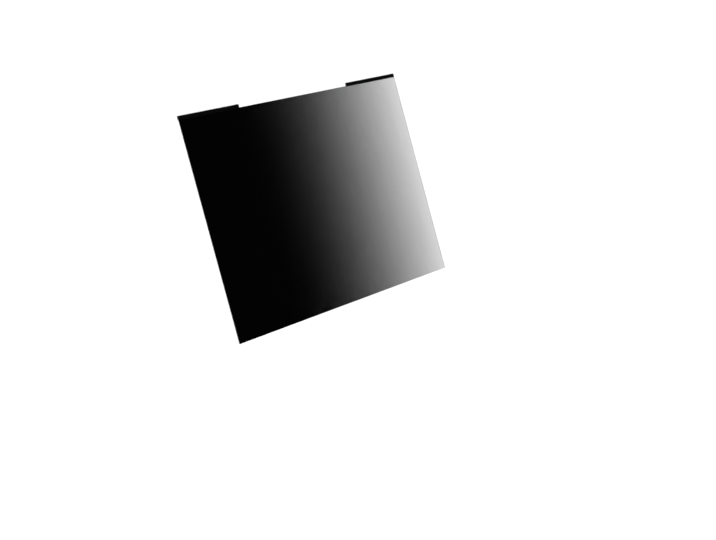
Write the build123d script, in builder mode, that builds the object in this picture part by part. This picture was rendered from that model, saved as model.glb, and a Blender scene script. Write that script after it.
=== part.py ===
"""Hang-on privacy filter of the 15.6 inch, 16:9 size.

A thin louvred sheet is carried by two black tabs at the ends of its top edge. Each tab is an extruded strip
with a groove along its lower edge. The sheet's edge is bonded into the groove, the rest of the strip stands
above the sheet, and double-sided tape on the strip's back is what the filter hangs by.

Millimetres. The filter lies on its back, as it comes to rest. X runs along the top edge, Y from the lower
edge to the top one, and Z out of the front face. The origin is under the middle of the whole outline, at the
level that the filter lies on.
"""

import os

from build123d import *

# Louvred sheet
SHEET_WIDTH = 344.5
SHEET_HEIGHT = 194.0
SHEET_THICKNESS = 0.5
SHEET_CORNER_RADIUS = 0.4

# Tabs, one at each end of the top edge, flush with the sheet's sides
TAB_LENGTH = 86.0
TAB_RISE = 3.0  # above the sheet's top edge
GROOVE_DEPTH = 0.5
GROOVE_LIP = 0.2  # wall in front of the sheet, and the same behind it
BOND_LINE = 0.02  # glue between the sheet and each wall of the groove
TAB_CORNER_RADIUS = 0.4  # at both ends of the strip's top edge
TAB_RIM_RADIUS = 0.08  # round the outlines of the strip's front and back

# Tape on each tab's back, set in from the tab's outline
TAPE_THICKNESS = 0.2
TAPE_MARGIN = 0.4
TAPE_CORNER_RADIUS = 0.3

# Heights above the level that the filter lies on
tab_back = TAPE_THICKNESS
groove_back = tab_back + GROOVE_LIP
groove_width = SHEET_THICKNESS + 2 * BOND_LINE
tab_thickness = groove_width + 2 * GROOVE_LIP
sheet_back = groove_back + BOND_LINE

# Places along Y, with the whole outline centred on the origin
outline_top = (SHEET_HEIGHT + TAB_RISE) / 2
sheet_top = outline_top - TAB_RISE
sheet_middle = sheet_top - SHEET_HEIGHT / 2
tab_bottom = sheet_top + BOND_LINE - GROOVE_DEPTH
tab_height = outline_top - tab_bottom
tab_middle = tab_bottom + tab_height / 2

# Places along X: the middle of each tab
tab_middles = {"left": (TAB_LENGTH - SHEET_WIDTH) / 2, "right": (SHEET_WIDTH - TAB_LENGTH) / 2}


with BuildPart() as sheet:
    with BuildSketch(Plane.XY.offset(sheet_back)):
        with Locations((0, sheet_middle)):
            RectangleRounded(SHEET_WIDTH, SHEET_HEIGHT, SHEET_CORNER_RADIUS)
    extrude(amount=SHEET_THICKNESS)
sheet.part.label = "filter_sheet"


def hanging_tab(middle):
    """A strip whose grooved lower edge grips the top edge of the sheet."""
    with BuildPart() as tab:
        with BuildSketch(Plane.YZ.offset(middle)):
            with Locations((tab_bottom, tab_back)):
                Rectangle(tab_height, tab_thickness, align=Align.MIN)
            with Locations((tab_bottom, groove_back)):
                Rectangle(GROOVE_DEPTH, groove_width, align=Align.MIN, mode=Mode.SUBTRACT)
        extrude(amount=TAB_LENGTH / 2, both=True)
        top_corners = tab.edges().filter_by(Axis.Z).group_by(Axis.Y)[-1]
        fillet(top_corners, TAB_CORNER_RADIUS)
        faces_by_height = tab.faces().filter_by(Axis.Z).group_by(Axis.Z)
        fillet(faces_by_height[0].edges() + faces_by_height[-1].edges(), TAB_RIM_RADIUS)
    return tab.part


def tape_strip(middle):
    """Double-sided tape under a tab, with rounded corners so that they don't peel."""
    with BuildPart() as tape:
        with BuildSketch(Plane.XY):
            with Locations((middle, tab_middle)):
                RectangleRounded(
                    TAB_LENGTH - 2 * TAPE_MARGIN,
                    tab_height - 2 * TAPE_MARGIN,
                    TAPE_CORNER_RADIUS,
                )
        extrude(amount=TAPE_THICKNESS)
    return tape.part


pieces = [sheet.part]
for side, middle in tab_middles.items():
    tab = hanging_tab(middle)
    tab.label = f"{side}_hanging_tab"
    tape = tape_strip(middle)
    tape.label = f"{side}_tape_strip"
    pieces += [tab, tape]

os.makedirs("parts", exist_ok=True)
for piece in pieces:
    export_step(piece, f"parts/{piece.label}.step")
    size = piece.bounding_box().size
    print(f"{piece.label}: {size.X:.2f} x {size.Y:.2f} x {size.Z:.2f} mm, {piece.volume:.1f} mm3")
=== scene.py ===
# %% [markdown]
# # A privacy filter
# A privacy filter is a sheet of louvred film that only someone straight in front of it can see through.
# It hangs by two black tabs on its top edge. It can't stand by itself, so here it lies on its back on a
# pale floor and the camera looks down on it. The solids are finished already and stay as they are. This
# lesson loads them, gives each one the finish of its real material, and then sets up the floor, the light
# and the camera.

# %% Load the solids
import math

import bpy
from mathutils import Euler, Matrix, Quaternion, Vector


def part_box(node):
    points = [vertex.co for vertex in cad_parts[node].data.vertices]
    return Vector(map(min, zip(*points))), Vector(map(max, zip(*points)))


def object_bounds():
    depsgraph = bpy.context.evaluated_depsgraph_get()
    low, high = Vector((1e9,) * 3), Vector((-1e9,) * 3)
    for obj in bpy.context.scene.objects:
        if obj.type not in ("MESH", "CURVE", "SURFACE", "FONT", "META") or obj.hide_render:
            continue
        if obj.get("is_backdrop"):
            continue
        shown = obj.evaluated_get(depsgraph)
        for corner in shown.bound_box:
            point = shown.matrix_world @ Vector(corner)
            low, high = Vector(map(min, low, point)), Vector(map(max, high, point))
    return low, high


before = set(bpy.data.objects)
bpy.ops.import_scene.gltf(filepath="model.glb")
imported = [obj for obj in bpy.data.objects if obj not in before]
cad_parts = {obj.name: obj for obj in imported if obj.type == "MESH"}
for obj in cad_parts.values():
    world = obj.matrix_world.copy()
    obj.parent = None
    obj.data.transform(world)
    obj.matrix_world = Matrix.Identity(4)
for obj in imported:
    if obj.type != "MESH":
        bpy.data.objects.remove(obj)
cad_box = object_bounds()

MM = 0.001  # the scene is in metres
SHEET = "filter_sheet"
TABS = ("left_hanging_tab", "right_hanging_tab")
TAPES = ("left_tape_strip", "right_tape_strip")

sheet_low, sheet_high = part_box(SHEET)
sheet_size = (sheet_high - sheet_low) / MM
print(f"sheet: {sheet_size.x:.1f} x {sheet_size.y:.1f} x {sheet_size.z:.2f} mm")

# %% [markdown]
# ## Helpers
# Colours are easiest to pick as the hex values of a picture, but a shader works in linear light. One
# function turns the one into the other. Another small function adds a node: it sets the node's
# properties, then fills its inputs. An input that is given another node's output becomes a link, and any
# other input is a plain value. The last two start a material and put it on the solids.

# %% Helpers for colours, nodes and materials
def linear(hex_colour):
    """The linear RGBA of an sRGB colour such as #1a2b3c."""
    channels = [int(hex_colour[i : i + 2], 16) / 255 for i in (1, 3, 5)]
    light = [c / 12.92 if c <= 0.04045 else ((c + 0.055) / 1.055) ** 2.4 for c in channels]
    return (*light, 1.0)


def add(tree, kind, inputs, **settings):
    """A new node of that kind. Inputs go by name, or by number where several share a name."""
    node = tree.nodes.new(kind)
    for name, value in settings.items():
        setattr(node, name, value)
    for name, value in inputs.items():
        if isinstance(value, bpy.types.NodeSocket):
            tree.links.new(value, node.inputs[name])
        else:
            node.inputs[name].default_value = value
    return node


def blank_material(name):
    """A material with an empty node tree."""
    material = bpy.data.materials.new(name)
    material.use_nodes = True
    material.node_tree.nodes.clear()
    return material


def dress(names, material):
    """Gives solids of the frame their finish."""
    for name in names:
        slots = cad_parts[name].data.materials
        slots.clear()
        slots.append(material)
        print(f"{name}: {material.name}")


print(f"the grey #808080 is {linear('#808080')[0]:.2f} in linear light")

# %% [markdown]
# ## The film turns clear from left to right
# The sheet is light-control film: clear polycarbonate with thin black louvres standing inside it, like a
# very small blind. Seen along a slant the louvres close up and the film is black. Seen straight on they
# are edge-on and it is a smoky grey. The photograph shows both at once, black at the left end and
# clearing evenly to the right. A finish that asked where the eye is would slide about in other views, so
# the change is drawn on the sheet itself, as a tint along its length.
#
# The tint is an Alpha, because transmission would blur what lies behind the film as much as its satin
# surface blurs a lamp. The sheet is a closed solid, so a ray passes two faces, and each face holds back
# its share. What a face lets through rises along a straight line, and a smooth maximum with zero eases it
# out of black. The three values are matched to the photograph's greys, where plain white lies behind the
# film.

# %% The tint
CLEARING_STARTS = 0.402  # of the width, where the straight line leaves black
CLEAREST = 0.829  # what a face lets through at the right end
EASE = 0.516  # how far the smooth maximum reaches to each side

film = blank_material("hard coated polycarbonate louvre film")
tree = film.node_tree
place = add(tree, "ShaderNodeTexCoord", {}).outputs["Object"]
across = add(tree, "ShaderNodeSeparateXYZ", {"Vector": place}).outputs["X"]
clearing_from = sheet_low.x + CLEARING_STARTS * (sheet_high.x - sheet_low.x)
line = add(
    tree,
    "ShaderNodeMapRange",
    {"Value": across, "From Min": clearing_from, "From Max": sheet_high.x, "To Max": CLEAREST},
    clamp=False,
)
clear = add(
    tree, "ShaderNodeMath", {0: line.outputs["Result"], 1: 0.0, 2: EASE}, operation="SMOOTH_MAX"
)
print(f"the straight line leaves black at x = {clearing_from / MM:.0f} mm")
print(f"at the right end the film lets up to {CLEAREST**2:.0%} of the light through")

# %% [markdown]
# ## Louvres
# The louvres run down the sheet, side by side along its length. As geometry they would be thousands of
# slivers, all far finer than a pixel, so a wave texture with straight bands draws them into the tint.
# Only the lowest part of each wave counts, which leaves thin dark lines with wide clear gaps, as a blind
# has from the front. They are drawn much further apart than they are, so that they show as fine lines
# from close by and melt into the tint from afar.

# %% Louvre lines
LOUVRE_PITCH_MM = 2.4  # about 0.1 mm on the real film, which is too fine to show
LOUVRE_PART = 0.15  # of the wave's height that belongs to the line
LOUVRE_SHADE = 0.18  # share of the light that the middle of a line takes away
WAVE_RATE = 20  # radians that a wave texture of scale 1 runs through in a metre

louvres = add(
    tree,
    "ShaderNodeTexWave",
    {"Vector": place, "Scale": math.tau / (WAVE_RATE * LOUVRE_PITCH_MM * MM)},
    bands_direction="X",
)
shaded = add(
    tree,
    "ShaderNodeMapRange",
    {"Value": louvres.outputs["Fac"], "From Max": LOUVRE_PART, "To Min": 1 - LOUVRE_SHADE},
)
through = add(
    tree,
    "ShaderNodeMath",
    {0: clear.outputs["Value"], 1: shaded.outputs["Result"]},
    operation="MULTIPLY",
)
held_back = add(tree, "ShaderNodeMath", {0: 1.0, 1: through.outputs["Value"]}, operation="SUBTRACT")
print(f"about {sheet_size.x / LOUVRE_PITCH_MM:.0f} louvre lines, {LOUVRE_PITCH_MM} mm apart")

# %% [markdown]
# ## The hard coat
# Both faces have a hard coat, a lacquer with a fine grain that was cured on the film. It makes the film
# satin: it mirrors a lamp as a soft glow. The Principled shader has a coat layer of its own, but here the
# lacquer is the only surface that mirrors, so the shader's own roughness stands for it. The grain is a
# small noise that stirs the roughness and the bump. A sheet this thin is never quite flat either, so a
# second, much wider noise bends the glow a little. The mesh itself stays flat.

# %% Grain and ripples of the hard coat
GRAIN_MM = 0.6  # about 0.02 mm on the real coat, which is too fine to show
GRAIN_HEIGHT_MM = 0.007
RIPPLE_MM = 70.0
RIPPLE_HEIGHT_MM = 1.5
SATIN_SMOOTHEST = 0.18  # satin lies between gloss and matt
SATIN_ROUGHEST = 0.30

grain = add(tree, "ShaderNodeTexNoise", {"Vector": place, "Scale": 1 / (GRAIN_MM * MM), "Detail": 2.0})
satin = add(
    tree,
    "ShaderNodeMapRange",
    {"Value": grain.outputs["Fac"], "To Min": SATIN_SMOOTHEST, "To Max": SATIN_ROUGHEST},
)
ripples = add(
    tree, "ShaderNodeTexNoise", {"Vector": place, "Scale": 1 / (RIPPLE_MM * MM), "Detail": 1.0}
)
rippled = add(
    tree, "ShaderNodeBump", {"Height": ripples.outputs["Fac"], "Distance": RIPPLE_HEIGHT_MM * MM}
)
grainy = add(
    tree,
    "ShaderNodeBump",
    {
        "Height": grain.outputs["Fac"],
        "Distance": GRAIN_HEIGHT_MM * MM,
        "Normal": rippled.outputs["Normal"],
    },
)
print(f"satin grain of {GRAIN_MM} mm on ripples of {RIPPLE_MM:.0f} mm")

# %% [markdown]
# ## The cut edge
# The sheet was cut from a larger one, and the knife left its edges frosted: paler than the black between
# the coats, and hazy where the film is clear. That thin hazy line is what gives the sheet its thickness
# to the eye. The narrow faces could have a material of their own, but that is set face by face in the
# mesh. The surface normal tells them apart as well: it is level on the cut edge, and upright on the two
# broad faces.

# %% Finish the film
LOUVRE_BLACK = "#020202"
FROSTED_GREY = "#5a5a5a"
EDGE_HAZE = 0.7  # the least that a cut edge holds back
HARD_COAT_IOR = 1.5

facing = add(tree, "ShaderNodeNewGeometry", {}).outputs["True Normal"]
upright = add(tree, "ShaderNodeSeparateXYZ", {"Vector": facing}).outputs["Z"]
broad = add(tree, "ShaderNodeMath", {0: upright}, operation="ABSOLUTE").outputs["Value"]
core = add(
    tree,
    "ShaderNodeMix",
    {"Factor": broad, "A": linear(FROSTED_GREY), "B": linear(LOUVRE_BLACK)},
    data_type="RGBA",
)
haze = add(tree, "ShaderNodeMapRange", {"Value": broad, "To Min": EDGE_HAZE, "To Max": 0.0})
opaque = add(
    tree,
    "ShaderNodeMath",
    {0: held_back.outputs["Value"], 1: haze.outputs["Result"]},
    operation="MAXIMUM",
)
surface = add(
    tree,
    "ShaderNodeBsdfPrincipled",
    {
        "Base Color": core.outputs["Result"],
        "Roughness": satin.outputs["Result"],
        "IOR": HARD_COAT_IOR,
        "Alpha": opaque.outputs["Value"],
        "Normal": grainy.outputs["Normal"],
    },
)
add(tree, "ShaderNodeOutputMaterial", {"Surface": surface.outputs["BSDF"]})
dress([SHEET], film)

# %% [markdown]
# ## No shadow under the sheet
# In use the film hangs free, and light passes it once on its way to the eye. Lying on the floor, it would
# also shade the very floor that shows through it, and the tint would count twice. So the sheet casts no
# shadow.

# %% Light passes the film once
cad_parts[SHEET].visible_shadow = False
print(f"{SHEET} casts no shadow")

# %% [markdown]
# ## The tabs
# Each tab is a strip of black PVC, pushed through a die and cut to length. The die leaves fine lines
# along the strip, and the plastic is matt, with a faint speckle. Lines a hundredth of a millimetre deep
# are no job for the mesh. A wave texture whose bands follow the strip gives them to the bump, a little
# crooked because no die is perfect, and a small noise stirs the roughness and the black.

# %% Die lines and specks
DIE_LINE_MM = 0.7  # about 0.1 mm on the real strip, which is too fine to show
DIE_LINE_HEIGHT_MM = 0.03
SPECK_MM = 0.4
SPECK_HEIGHT_MM = 0.015

vinyl = blank_material("extruded matt black pvc")
tree = vinyl.node_tree
place = add(tree, "ShaderNodeTexCoord", {}).outputs["Object"]
die_lines = add(
    tree,
    "ShaderNodeTexWave",
    {"Vector": place, "Scale": math.tau / (WAVE_RATE * DIE_LINE_MM * MM), "Distortion": 1.5},
    bands_direction="Y",
)
specks = add(tree, "ShaderNodeTexNoise", {"Vector": place, "Scale": 1 / (SPECK_MM * MM), "Detail": 3.0})
lined = add(
    tree, "ShaderNodeBump", {"Height": die_lines.outputs["Fac"], "Distance": DIE_LINE_HEIGHT_MM * MM}
)
speckled = add(
    tree,
    "ShaderNodeBump",
    {"Height": specks.outputs["Fac"], "Distance": SPECK_HEIGHT_MM * MM, "Normal": lined.outputs["Normal"]},
)
print(f"die lines {DIE_LINE_MM} mm apart, with specks of {SPECK_MM} mm")

# %% Finish the tabs
DARKEST_PVC = "#010101"
PALEST_PVC = "#050505"
PVC_SMOOTHEST = 0.45
PVC_ROUGHEST = 0.7
PVC_IOR = 1.53

black = add(
    tree,
    "ShaderNodeMix",
    {"Factor": specks.outputs["Fac"], "A": linear(DARKEST_PVC), "B": linear(PALEST_PVC)},
    data_type="RGBA",
)
matt = add(
    tree,
    "ShaderNodeMapRange",
    {"Value": specks.outputs["Fac"], "To Min": PVC_SMOOTHEST, "To Max": PVC_ROUGHEST},
)
surface = add(
    tree,
    "ShaderNodeBsdfPrincipled",
    {
        "Base Color": black.outputs["Result"],
        "Roughness": matt.outputs["Result"],
        "IOR": PVC_IOR,
        "Normal": speckled.outputs["Normal"],
    },
)
add(tree, "ShaderNodeOutputMaterial", {"Surface": surface.outputs["BSDF"]})
dress(TABS, vinyl)

# %% [markdown]
# ## The tape
# On the back of each tab is double-sided tissue tape: a web of paper fibres soaked in acrylic glue. It
# looks milky, with paler fibres that lie mostly along the roll, and its face is tacky, which is smooth in
# some places and dull in others. Single fibres could be curves, but a noise that is stretched along the
# strip looks the same and weighs nothing. A Mapping node does the stretching: its scale is one over the
# length and the width of a fibre. The noise stays near its middle, so its inner range is spread out to
# tell fibres from glue.

# %% Paper fibres
FIBRE_LENGTH_MM = 5.0
FIBRE_WIDTH_MM = 0.5  # about 0.02 mm on the real tape, which is too fine to show
FIBRE_HEIGHT_MM = 0.03
BARE_GLUE = 0.3  # of the noise, up to which there is no fibre
FULL_FIBRE = 0.7  # of the noise, from which there is nothing else

tape = blank_material("acrylic coated tissue tape")
tree = tape.node_tree
place = add(tree, "ShaderNodeTexCoord", {}).outputs["Object"]
stretched = add(
    tree,
    "ShaderNodeMapping",
    {"Vector": place, "Scale": (1 / (FIBRE_LENGTH_MM * MM), 1 / (FIBRE_WIDTH_MM * MM), 1.0)},
)
fibres = add(
    tree,
    "ShaderNodeTexNoise",
    {"Vector": stretched.outputs["Vector"], "Scale": 1.0, "Detail": 4.0, "Distortion": 0.5},
)
dense = add(
    tree,
    "ShaderNodeMapRange",
    {"Value": fibres.outputs["Fac"], "From Min": BARE_GLUE, "From Max": FULL_FIBRE},
)
webbed = add(
    tree, "ShaderNodeBump", {"Height": dense.outputs["Result"], "Distance": FIBRE_HEIGHT_MM * MM}
)
print(f"paper fibres of {FIBRE_LENGTH_MM} x {FIBRE_WIDTH_MM} mm")

# %% Finish the tape
GLUE_CREAM = "#b5b1a4"
FIBRE_WHITE = "#f1efe8"
GLUE_ROUGHNESS = 0.25
FIBRE_ROUGHNESS = 0.55
ACRYLIC_IOR = 1.47

milk = add(
    tree,
    "ShaderNodeMix",
    {"Factor": dense.outputs["Result"], "A": linear(GLUE_CREAM), "B": linear(FIBRE_WHITE)},
    data_type="RGBA",
)
tacky = add(
    tree,
    "ShaderNodeMapRange",
    {"Value": dense.outputs["Result"], "To Min": GLUE_ROUGHNESS, "To Max": FIBRE_ROUGHNESS},
)
surface = add(
    tree,
    "ShaderNodeBsdfPrincipled",
    {
        "Base Color": milk.outputs["Result"],
        "Roughness": tacky.outputs["Result"],
        "IOR": ACRYLIC_IOR,
        "Normal": webbed.outputs["Normal"],
    },
)
add(tree, "ShaderNodeOutputMaterial", {"Surface": surface.outputs["BSDF"]})
dress(TAPES, tape)

# %% [markdown]
# ## The floor
# The photograph has plain white behind the film, and the clear end of the sheet shows it as light grey. A
# matt white board does the same here. It is wide enough for its edge to stay out of the picture, and it
# is only diffuse, so that it mirrors no lamp. It belongs to the studio and not to the object, which is
# what staging it says.

# %% A matt white board
FLOOR_SIDE = 8.0  # metres
BOARD_WHITE = "#f3f3f3"

bpy.ops.mesh.primitive_plane_add(size=FLOOR_SIDE)
floor = bpy.context.object
floor.name = "floor"
board = blank_material("matt white board")
tree = board.node_tree
surface = add(tree, "ShaderNodeBsdfDiffuse", {"Color": linear(BOARD_WHITE)})
add(tree, "ShaderNodeOutputMaterial", {"Surface": surface.outputs["BSDF"]})
floor.data.materials.append(board)
floor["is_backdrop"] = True
print(f"floor: {FLOOR_SIDE} m square, {(cad_box[0].z - floor.location.z) / MM:.2f} mm below the object")

# %% [markdown]
# ## Light from above
# The photograph has even light and a pure white ground. A very wide sun lamp straight overhead gives
# both: it is equally bright all over the floor, and its shadows are too soft to see. An area lamp would
# leave the floor darker towards the edges. Mirrored in the film the sun would lie there as a grey veil,
# so glossy rays don't see it.

# %% A soft overhead light
SUN_STRENGTH = 3.6
SUN_SPREAD = math.radians(60)

sun = bpy.data.objects.new("overhead light", bpy.data.lights.new("overhead light", "SUN"))
sun.data.energy = SUN_STRENGTH
sun.data.angle = SUN_SPREAD
sun.visible_glossy = False
bpy.context.scene.collection.objects.link(sun)
print(f"overhead light: {SUN_STRENGTH} W/m2, {math.degrees(SUN_SPREAD):.0f} degrees wide")

# %% [markdown]
# ## Strip lights for the gloss
# A black sheet shows its gloss only by what it mirrors, so tall strip lights stand in a ring round it,
# and one more hangs above its black end. They are dim beside the overhead light, and from most sides one
# of them draws a soft band across the film. None stands to the right, beyond the clear end. The camera
# sees that side mirrored, and there the film has to stay black. Each strip is placed by two angles, as if
# it were moved about on a dome over the sheet. Its power follows from its glow: a lamp gives off pi times
# its glow from each square metre.

# %% Strip lights on a dome
STRIP_DISTANCE = 1.84  # metres, as the two sizes below
STRIP_WIDTH = 0.2
STRIP_LENGTH = 1.0
STRIP_GLOW = 0.5  # the white floor has 1
RING_TURNS = (49, 94, 139, 184, -139, -94, -49)  # degrees round from +X
RING_RISE = 29  # degrees up from the floor
TOP_TURN = 180
TOP_RISE = 80


def strip_light(turn, rise):
    """A strip light that stands in that direction from the sheet and faces it."""
    direction = Vector((1, 0, 0))
    direction.rotate(Euler((0, math.radians(-rise), math.radians(turn))))
    strip = bpy.data.objects.new("strip light", bpy.data.lights.new("strip light", "AREA"))
    strip.data.shape = "RECTANGLE"
    strip.data.size = STRIP_WIDTH
    strip.data.size_y = STRIP_LENGTH
    strip.data.energy = math.pi * STRIP_GLOW * STRIP_WIDTH * STRIP_LENGTH
    strip.location = STRIP_DISTANCE * direction
    strip.rotation_euler = (-direction).to_track_quat("-Z", "Y").to_euler()
    strip.visible_camera = False
    bpy.context.scene.collection.objects.link(strip)


for turn in RING_TURNS:
    strip_light(turn, RING_RISE)
strip_light(TOP_TURN, TOP_RISE)
print(f"{len(RING_TURNS)} strip lights in a ring and one above, {STRIP_DISTANCE} m from the sheet")

# %% [markdown]
# ## The room
# The camera sees a white room, so that the floor has no far edge. In the film a white room would show as
# grey, so every other ray finds the room nearly dark. It is a little lighter low down, for the sheen that
# any plastic has when it is seen at a flat angle, and on the left. The Standard view shows white as
# white, where the default view would dull it.

# %% A room that is white to the camera alone
WALL_GLOW = 0.03
WALL_FADE = 0.5  # as far to the right of the middle as to the left
LOW_GLOW = 0.2
LOW_FADE = 0.3  # up from the horizon
ROOM_WHITE = "#ffffff"

world = bpy.data.worlds.new("studio")
world.use_nodes = True
tree = world.node_tree
tree.nodes.clear()
outlook = add(tree, "ShaderNodeTexCoord", {}).outputs["Generated"]
way = add(tree, "ShaderNodeSeparateXYZ", {"Vector": outlook})
wall = add(
    tree,
    "ShaderNodeMapRange",
    {"Value": way.outputs["X"], "From Min": WALL_FADE, "From Max": -WALL_FADE, "To Max": WALL_GLOW},
    interpolation_type="SMOOTHSTEP",
)
low = add(
    tree,
    "ShaderNodeMapRange",
    {"Value": way.outputs["Z"], "From Min": LOW_FADE, "From Max": 0.0, "To Max": LOW_GLOW},
    interpolation_type="SMOOTHSTEP",
)
glow = add(
    tree, "ShaderNodeMath", {0: wall.outputs["Result"], 1: low.outputs["Result"]}, operation="ADD"
)
seen = add(tree, "ShaderNodeLightPath", {}).outputs["Is Camera Ray"]
bright = add(tree, "ShaderNodeMath", {0: glow.outputs["Value"], 1: seen}, operation="MAXIMUM")
backdrop = add(
    tree, "ShaderNodeBackground", {"Color": linear(ROOM_WHITE), "Strength": bright.outputs["Value"]}
)
add(tree, "ShaderNodeOutputWorld", {"Surface": backdrop.outputs["Background"]})
bpy.context.scene.world = world
bpy.context.scene.view_settings.view_transform = "Standard"
print(f"the room glows {WALL_GLOW} at the left and {LOW_GLOW} low down, and 1 to the camera")

# %% [markdown]
# ## The camera
# The photograph shows the filter upright, from beyond its black end and a little above. The four corners
# of a flat sheet of known size say where the eye was: they fix the camera's place, its aim and its roll
# beside the sheet. With the sheet on its back, the same view is a camera that looks down along the sheet
# from the left and is rolled onto its side. Aiming first and rolling afterwards keeps the two apart. The
# lens is long, because the sheet's far end is only a little smaller than its near one.

# %% The photograph's view
CAMERA_PLACE = Vector((-1426.75, 15.70, 995.49)) * MM
CAMERA_AIM = Vector((24.92, -72.41, 0.92)) * MM
CAMERA_ROLL = math.radians(76.868)
LENS_MM = 96.287
SENSOR_MM = 36.0

camera = bpy.data.objects.new("camera", bpy.data.cameras.new("camera"))
camera.data.lens = LENS_MM
camera.data.sensor_width = SENSOR_MM
camera.location = CAMERA_PLACE
aim = (CAMERA_AIM - CAMERA_PLACE).to_track_quat("-Z", "Y")
camera.rotation_mode = "QUATERNION"
camera.rotation_quaternion = aim @ Quaternion((0, 0, 1), CAMERA_ROLL)
bpy.context.scene.collection.objects.link(camera)
bpy.context.scene.camera = camera
print(f"camera: {(CAMERA_AIM - CAMERA_PLACE).length:.2f} m from what it looks at, {LENS_MM:.0f} mm lens")

# %% [markdown]
# ## Sizes
# A finish never changes a size. The last step measures what is shown and sets it beside the solids as they
# were loaded.

# %% The sizes as loaded and as shown
boxes = {"cad": cad_box, "visual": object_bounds()}
for name, (low_corner, high_corner) in boxes.items():
    size = (high_corner - low_corner) / MM
    print(f"{name}: {size.x:.2f} x {size.y:.2f} x {size.z:.2f} mm")
